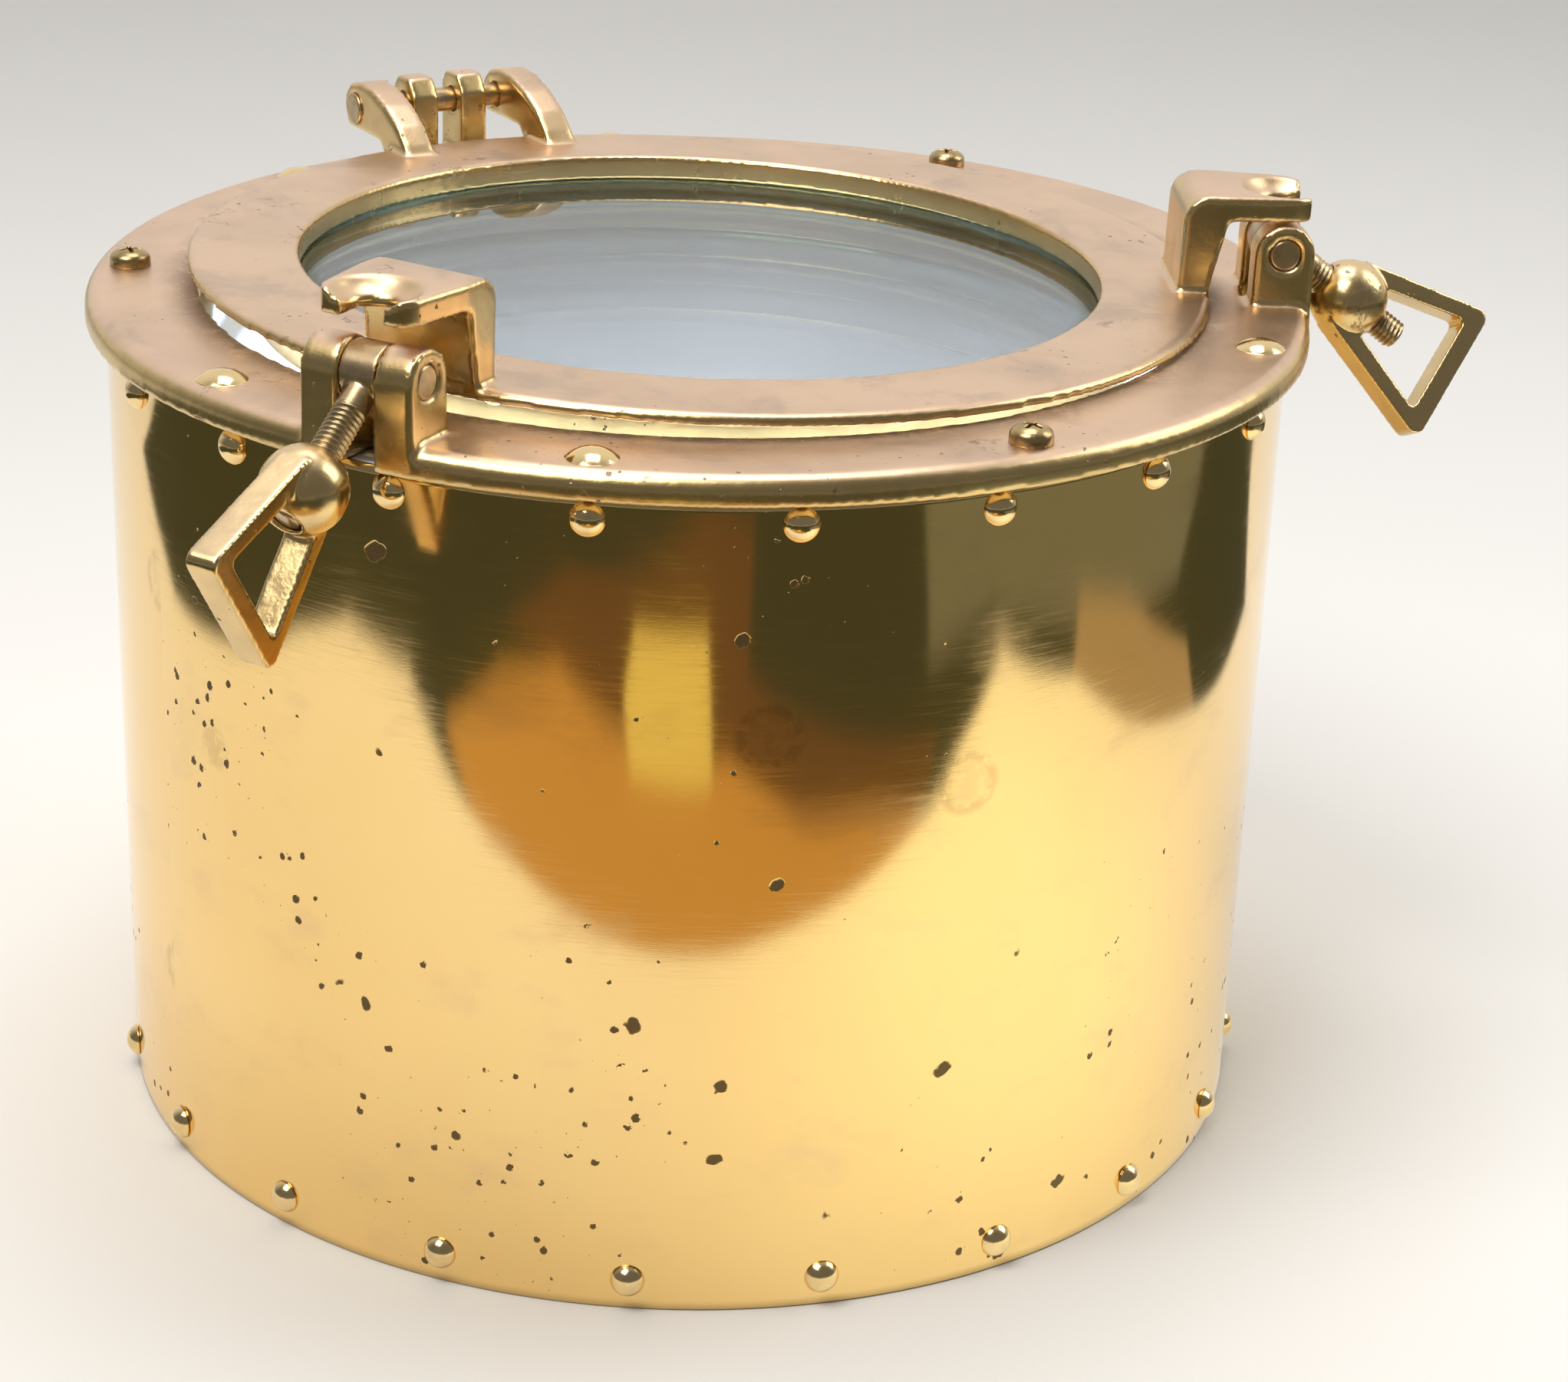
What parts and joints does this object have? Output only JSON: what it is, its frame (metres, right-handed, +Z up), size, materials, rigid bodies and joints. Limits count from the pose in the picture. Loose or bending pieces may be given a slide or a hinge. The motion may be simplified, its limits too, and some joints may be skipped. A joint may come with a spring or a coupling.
{
  "type": "opening porthole",
  "caption": "Round hinged brass porthole with a glazed sash, swing-bolt dogs and ball-and-loop nuts, set on a riveted sheet-brass drum with a grey metal liner.",
  "frame": {"origin": "centre of the drum's foot, on the surface it stands on", "axes": "+Z up along the drum's axis, +Y towards the sash hinge, +X towards the dog at azimuth -30 degrees"},
  "size_m": [0.451, 0.3814, 0.3014],
  "materials": {
    "drum_brass": "polished sheet",
    "cast_brass": "worn satin casting",
    "rivet_brass": "polished",
    "screw_brass": "dull antique",
    "pin_brass": "dull",
    "zinc": "dull grey",
    "glass": "clear"
  },
  "bodies": {
    "frame": {"drum_shell": "drum_brass", "side_rivets_top": "rivet_brass", "side_rivets_foot": "rivet_brass", "top_angle_ring": "cast_brass", "bottom_pan": "drum_brass", "liner": "zinc", "liner_floor": "zinc", "flange": "cast_brass", "flange_rivets": "rivet_brass", "flange_screws": "screw_brass", "dog_pin_right": "pin_brass", "dog_pin_left": "pin_brass"},
    "sash": {"sash_ring": "cast_brass", "glass": "glass", "glass_retainer": "zinc", "retainer_screws": "screw_brass", "hinge_pin": "pin_brass", "fork_lug_right": "cast_brass", "fork_lug_left": "cast_brass"},
    "right_dog": {"dog_bolt_right": "pin_brass"},
    "right_nut": {"dog_nut_right": "cast_brass"},
    "left_dog": {"dog_bolt_left": "pin_brass"},
    "left_nut": {"dog_nut_left": "cast_brass"}
  },
  "joints": [
    {"name": "sash_hinge", "type": "hinge", "parent": "frame", "child": "sash", "pos_m": [0, 0.1825, 0.2785], "axis": [-1, 0, 0], "range_deg": [0, 180]},
    {"name": "right_dog_swing", "type": "hinge", "parent": "frame", "child": "right_dog", "pos_m": [0.15614, -0.09015, 0.2776], "axis": [-0.5, -0.866, 0], "range_deg": [0, 126.5]},
    {"name": "right_nut_spin", "type": "hinge", "parent": "right_dog", "child": "right_nut", "pos_m": [0.15614, -0.09015, 0.2776], "axis": [0.6962, -0.4019, -0.5948], "continuous": true},
    {"name": "left_dog_swing", "type": "hinge", "parent": "frame", "child": "left_dog", "pos_m": [-0.15614, -0.09015, 0.2776], "axis": [-0.5, 0.866, 0], "range_deg": [0, 125.8]},
    {"name": "left_nut_spin", "type": "hinge", "parent": "left_dog", "child": "left_nut", "pos_m": [-0.15614, -0.09015, 0.2776], "axis": [-0.7024, -0.4055, -0.585], "continuous": true}
  ]
}
